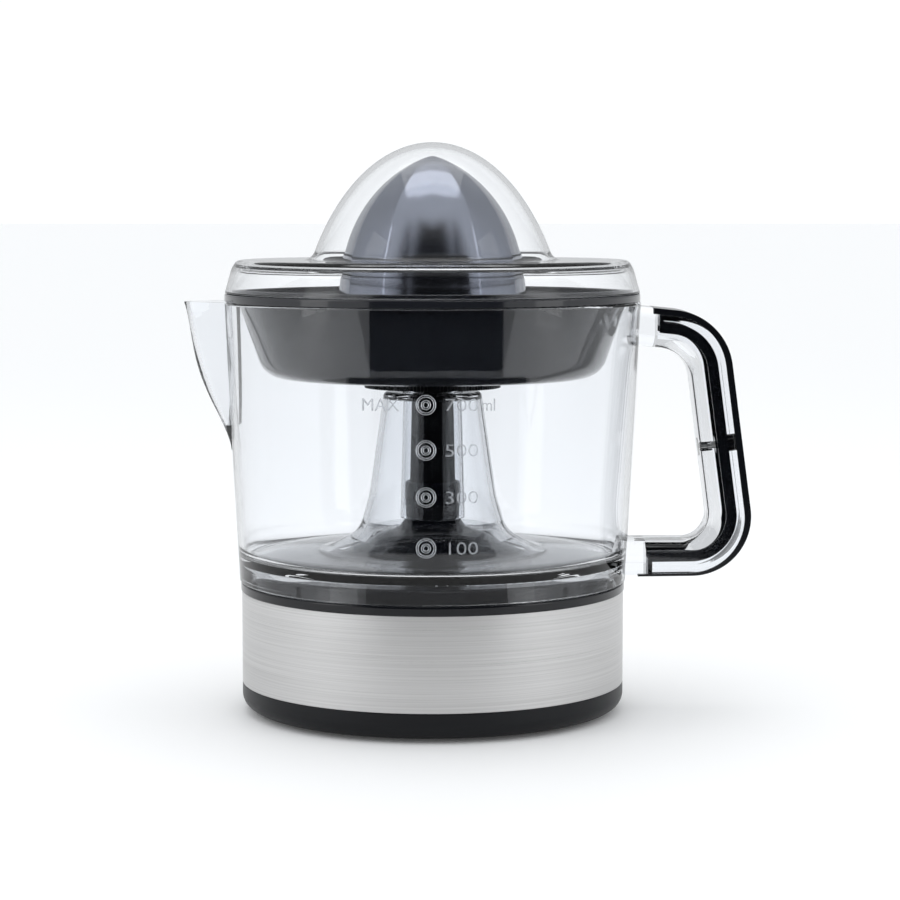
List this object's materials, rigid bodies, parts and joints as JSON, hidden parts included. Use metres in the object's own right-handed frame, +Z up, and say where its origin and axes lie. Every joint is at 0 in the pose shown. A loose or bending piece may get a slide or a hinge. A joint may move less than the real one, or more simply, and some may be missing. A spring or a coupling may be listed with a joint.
{
  "type": "citrus press juicer",
  "caption": "Electric citrus press with a driven reamer, a strainer with a pulp ring, a clear jug with spout and handle, a domed dust cover and a motor base with a steel band.",
  "frame": {"origin": "on the drive axis at the standing surface, the middle of the foot ring", "axes": "+Z up along the drive axis, +X to the handle, -X to the spout, -Y to the volume marks, +Y to the cord side"},
  "size_m": [0.1991, 0.1464, 0.1999],
  "materials": {
    "black_gloss": "gloss black ABS moulding",
    "black_satin": "satin black moulding",
    "clear_jug": "clear polished styrene-acrylonitrile",
    "clear_cover": "clear polished polystyrene",
    "strainer_grey": "gloss dark grey moulding",
    "smoked_chrome": "smoked chrome plating over plastic",
    "band_steel": "brushed along the band",
    "plated_steel": "zinc plated",
    "shaft_steel": "ground",
    "core_iron": "stacked sheets",
    "ferrite": "sintered magnet",
    "copper": "enamelled wire",
    "bronze": "sintered",
    "white_nylon": "natural acetal",
    "foot_rubber": "matt",
    "lead_cover": "PVC insulation"
  },
  "bodies": {
    "base": {"upper_housing": "black_gloss", "bottom_cover": "black_satin", "steel_band": "band_steel", "foot_ring": "foot_rubber", "base_screws": "plated_steel", "cord_gland": "foot_rubber", "motor_core": "core_iron", "coil_bobbins": "white_nylon", "coil_windings": "copper", "rotor_bracket": "plated_steel", "motor_spacers": "plated_steel", "motor_screws": "plated_steel", "gear_plate": "plated_steel", "plate_screws": "plated_steel", "plate_bush": "bronze", "tower_bush": "bronze", "gear_axles": "shaft_steel", "return_spring": "plated_steel", "switch_body": "black_satin", "terminal_block": "white_nylon", "supply_leads": "lead_cover", "motor_leads": "lead_cover"},
    "plunger": {"thrust_cup": "white_nylon"},
    "drive": {"output_shaft": "shaft_steel", "output_gear": "white_nylon", "shaft_clip": "plated_steel"},
    "idler_two": {"gear_two": "white_nylon"},
    "idler_one": {"gear_one": "white_nylon"},
    "rotor": {"rotor_shaft": "shaft_steel", "rotor_magnet": "ferrite", "rotor_pinion": "white_nylon"},
    "lever": {"switch_lever": "plated_steel"},
    "button": {"switch_button": "white_nylon"},
    "stem": {"drive_stem": "black_gloss"},
    "reamer": {"reamer_cone": "smoked_chrome", "cone_socket": "black_satin"},
    "jug": {"jug": "clear_jug", "handle_strip": "black_gloss", "handle_screw": "plated_steel"},
    "strainer": {"strainer": "strainer_grey"},
    "dial": {"pulp_ring": "black_satin"},
    "cover": {"dust_cover": "clear_cover"}
  },
  "joints": [
    {"name": "press", "type": "slide", "parent": "base", "child": "plunger", "axis": [0, 0, 1], "range_m": [-0.0025, 0], "stiffness_N_per_m": 2500, "springref_m": 0.002, "deforming": ["return_spring"]},
    {"name": "spin", "type": "hinge", "parent": "plunger", "child": "drive", "pos_m": [0, 0, 0.03], "axis": [0, 0, 1], "continuous": true},
    {"name": "second_gear_spin", "type": "hinge", "parent": "base", "child": "idler_two", "pos_m": [0.02913, -0.0106, 0.035], "axis": [0, 0, 1], "continuous": true},
    {"name": "first_gear_spin", "type": "hinge", "parent": "base", "child": "idler_one", "pos_m": [0.01039, -0.01962, 0.03], "axis": [0, 0, 1], "continuous": true},
    {"name": "rotor_spin", "type": "hinge", "parent": "base", "child": "rotor", "pos_m": [0.013, -0.035, 0.015], "axis": [0, 0, 1], "continuous": true},
    {"name": "lever_swing", "type": "hinge", "parent": "base", "child": "lever", "pos_m": [-0.035, 0, 0.0166], "axis": [0, 1, 0], "range_deg": [0, 6.5]},
    {"name": "button_press", "type": "slide", "parent": "base", "child": "button", "axis": [0, 0, 1], "range_m": [-0.0008, 0]},
    {"name": "jug_lift", "type": "slide", "parent": "base", "child": "jug", "axis": [0, 0, 1], "range_m": [0, 0.06]},
    {"name": "stem_lift", "type": "slide", "parent": "drive", "child": "stem", "axis": [0, 0, 1], "range_m": [0, 0.06]},
    {"name": "strainer_lift", "type": "slide", "parent": "jug", "child": "strainer", "axis": [0, 0, 1], "range_m": [0, 0.045]},
    {"name": "reamer_lift", "type": "slide", "parent": "stem", "child": "reamer", "axis": [0, 0, 1], "range_m": [0, 0.045]},
    {"name": "pulp_turn", "type": "hinge", "parent": "strainer", "child": "dial", "pos_m": [0, 0, 0.1157], "axis": [0, 0, 1], "range_deg": [0, 15]},
    {"name": "cover_lift", "type": "slide", "parent": "strainer", "child": "cover", "axis": [0, 0, 1], "range_m": [0, 0.06]}
  ],
  "couplings": [
    {"joint": "second_gear_spin", "follows": "spin", "ratio": -3.4286},
    {"joint": "first_gear_spin", "follows": "spin", "ratio": 11.429},
    {"joint": "rotor_spin", "follows": "spin", "ratio": -38.095},
    {"joint": "lever_swing", "follows": "press", "rad_per_m": -43.6},
    {"joint": "button_press", "follows": "press", "ratio": 0.304},
    {"joint": "stem_lift", "follows": "jug_lift", "ratio": 1},
    {"joint": "reamer_lift", "follows": "strainer_lift", "ratio": 1}
  ]
}
